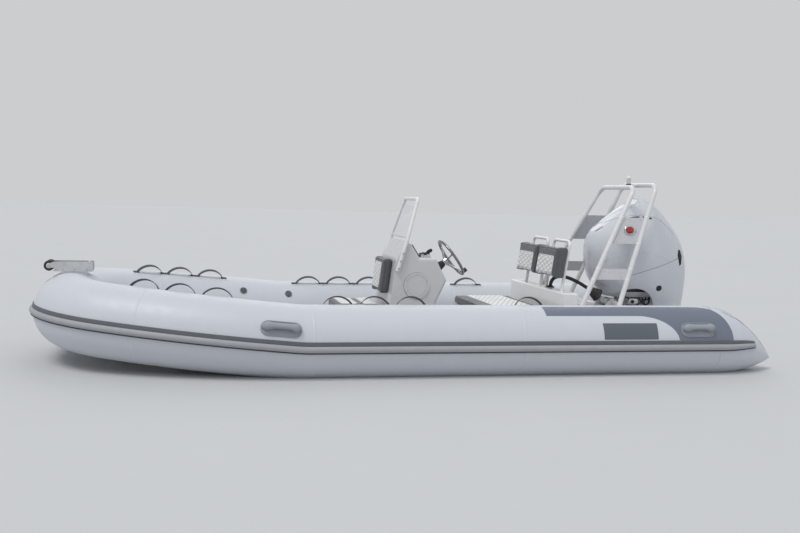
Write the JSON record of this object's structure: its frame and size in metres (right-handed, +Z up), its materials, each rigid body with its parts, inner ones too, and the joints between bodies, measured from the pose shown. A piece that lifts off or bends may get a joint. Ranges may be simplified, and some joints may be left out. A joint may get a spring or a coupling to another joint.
{
  "type": "rigid inflatable boat",
  "caption": "Rigid inflatable boat with a centre console, padded seats, a stern arch and an outboard engine that tilts and steers.",
  "frame": {"origin": "on the centreline at the waterline, amidships, the boat level", "axes": "+X towards the bow, +Y to port, +Z up"},
  "size_m": [5.3041, 2.2878, 2.0835],
  "materials": {
    "tube_fabric": "satin coated fabric",
    "strake_grey": "matte rubber",
    "strake_light": "matte rubber",
    "webbing": "woven webbing",
    "valve_plastic": "matte",
    "gelcoat": "gloss gelcoat",
    "deck_gelcoat": "non-slip gelcoat",
    "console_gelcoat": "gloss gelcoat",
    "white_coat": "gloss powder coat",
    "cushion_vinyl": "grained vinyl",
    "dash_black": "satin",
    "hatch_white": "satin",
    "screen_clear": "clear acrylic",
    "helm_black": "satin",
    "grip_black": "grained grip",
    "stainless": "polished stainless steel",
    "aluminium_plate": "satin",
    "roller_black": "matte rubber",
    "lamp_red": "moulded lens",
    "lamp_green": "moulded lens",
    "lamp_white": "moulded lens",
    "engine_white": "gloss lacquer",
    "engine_metal": "gloss lacquer",
    "bracket_white": "gloss lacquer",
    "powerhead_metal": "cast",
    "propeller_black": "satin lacquer",
    "hose_black": "corrugated rubber"
  },
  "bodies": {
    "boat": {"tube_port": "tube_fabric", "tube_starboard": "tube_fabric", "tube_bow": "tube_fabric", "rub_lip": "strake_grey", "rub_fender": "strake_light", "rub_band": "strake_grey", "grab_loops": "webbing", "carry_handles": "strake_grey", "tube_valves": "valve_plastic", "hull": "gelcoat", "deck": "deck_gelcoat", "transom": "gelcoat", "stern_locker": "gelcoat", "quarter_decks": "gelcoat", "arch_front_hoop": "white_coat", "arch_aft_hoop": "white_coat", "arch_plates": "white_coat", "nav_light_port": "lamp_red", "nav_light_starboard": "lamp_green", "masthead_light": "lamp_white", "front_seat_box": "console_gelcoat", "helm_seat_box": "console_gelcoat", "front_seat_cushion": "cushion_vinyl", "helm_seat_cushion": "cushion_vinyl", "backrest_pad_port": "cushion_vinyl", "backrest_pad_starboard": "cushion_vinyl", "backrest_frame": "white_coat", "console_body": "console_gelcoat", "dash_panel": "dash_black", "console_hatch_ring": "hatch_white", "console_hatch_lid": "hatch_white", "console_cushion": "cushion_vinyl", "windscreen_frame": "white_coat", "windscreen_panel": "screen_clear", "helm_boss": "helm_black", "throttle": "helm_black", "bow_bracket": "stainless", "bow_eye": "stainless", "stern_eyes": "stainless", "clamp_bracket": "bracket_white", "rigging_hose": "hose_black"},
    "anchor_roller": {"bow_roller": "roller_black"},
    "helm": {"wheel_rim": "grip_black", "wheel_spokes": "stainless", "wheel_knob": "grip_black"},
    "swivel": {"swivel_bracket": "bracket_white"},
    "ram_barrel": {"trim_cylinder": "stainless"},
    "ram_rod": {"trim_rod": "stainless"},
    "outboard": {"steering_yoke": "bracket_white", "engine_leg": "engine_metal", "gearcase": "engine_metal", "cowl_upper": "engine_white", "cowl_lower": "engine_white", "engine_pan": "engine_metal", "powerhead": "powerhead_metal", "rigging_boot": "hose_black"},
    "screw": {"propeller": "propeller_black"}
  },
  "joints": [
    {"name": "roller_spin", "type": "hinge", "parent": "boat", "child": "anchor_roller", "pos_m": [2.416, 0, 0.651], "axis": [0, 1, 0], "continuous": true},
    {"name": "helm_turn", "type": "hinge", "parent": "boat", "child": "helm", "pos_m": [-0.542, 0, 0.742], "axis": [-0.8131, 0, 0.5821], "range_deg": [-540, 540]},
    {"name": "engine_tilt", "type": "hinge", "parent": "boat", "child": "swivel", "pos_m": [-1.86, 0, 0.41], "axis": [0, 1, 0], "range_deg": [0, 40], "deforming": ["rigging_hose"]},
    {"name": "engine_steer", "type": "hinge", "parent": "swivel", "child": "outboard", "pos_m": [-1.99, 0, 0.2], "axis": [0, 0, 1], "range_deg": [-30, 30]},
    {"name": "screw_spin", "type": "hinge", "parent": "outboard", "child": "screw", "pos_m": [-2.4, 0, -0.48], "axis": [1, 0, 0], "continuous": true},
    {"name": "ram_swing", "type": "hinge", "parent": "boat", "child": "ram_barrel", "pos_m": [-1.915, 0, 0.06], "axis": [0, 1, 0], "range_deg": [-5, 5]},
    {"name": "ram_extend", "type": "slide", "parent": "ram_barrel", "child": "ram_rod", "axis": [0.0223, 0, 0.9998], "range_m": [0, 0.0404]}
  ],
  "couplings": [
    {"joint": "helm_turn", "follows": "engine_steer", "ratio": -18},
    {"joint": "ram_swing", "follows": "engine_tilt", "ratio": -0.06255},
    {"joint": "ram_extend", "follows": "engine_tilt", "m_per_rad": 0.05498}
  ]
}
